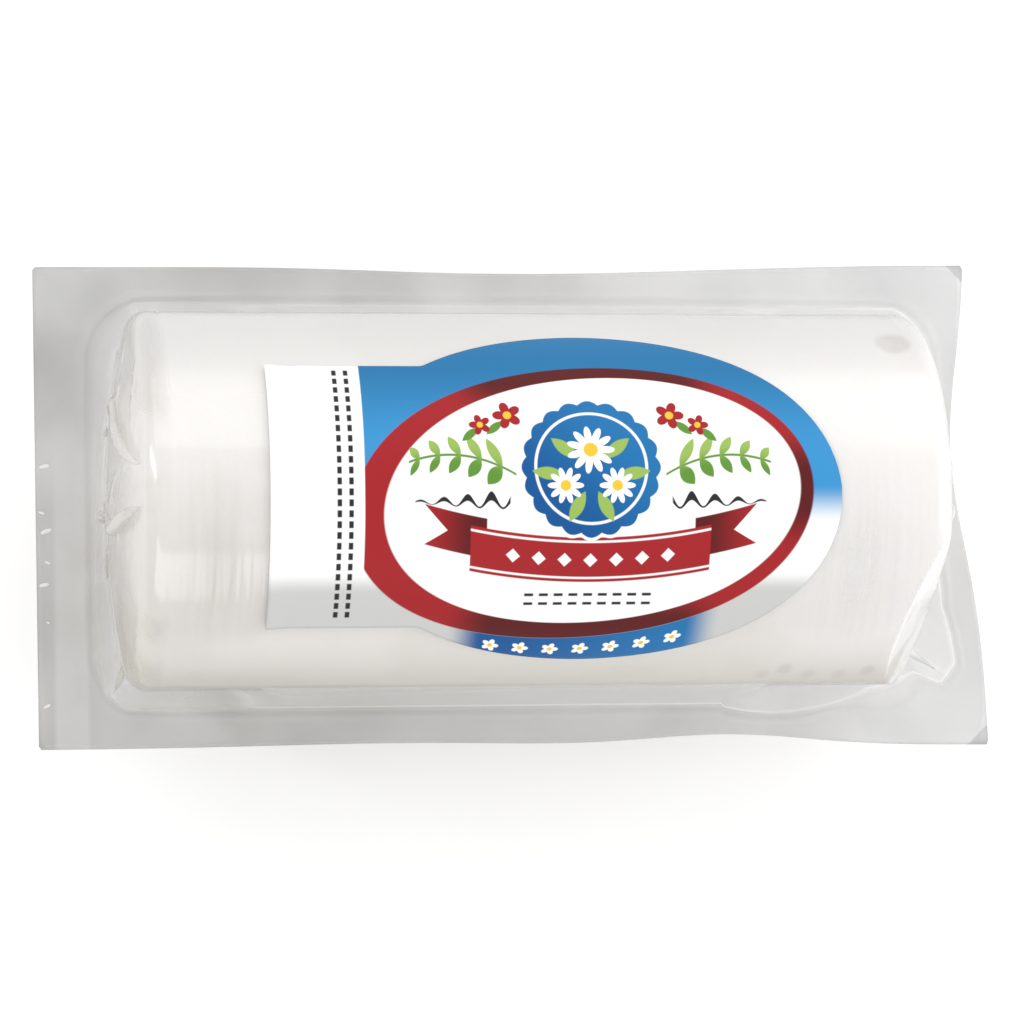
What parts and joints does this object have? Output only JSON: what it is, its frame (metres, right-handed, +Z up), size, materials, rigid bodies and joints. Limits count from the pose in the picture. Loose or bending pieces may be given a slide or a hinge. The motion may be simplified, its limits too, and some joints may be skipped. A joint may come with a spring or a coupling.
{
  "type": "vacuum-packed goat cheese log",
  "caption": "Thick white fresh goat cheese log sealed in a clear vacuum pack with a flat flange all round and a die-cut label on its front.",
  "frame": {"origin": "on the flat that the log lies on, under the middle of the pack's outline", "axes": "+X along the log, +Y across it towards the edge that is the upper one in a front view, +Z up out of the labelled front"},
  "size_m": [0.2176, 0.1101, 0.0817],
  "materials": {
    "wrapped_cheese": "white cheese under clear glossy film",
    "clear_film": "clear, glossy, wrinkled at the ends, hazy where it is sealed",
    "cheese": "moist, white, fine-grained",
    "label_paper": "smooth coated paper, printed in blue, red and white"
  },
  "bodies": {
    "root": {"vacuum_pack": "wrapped_cheese", "front_label": "label_paper"}
  },
  "joints": []
}
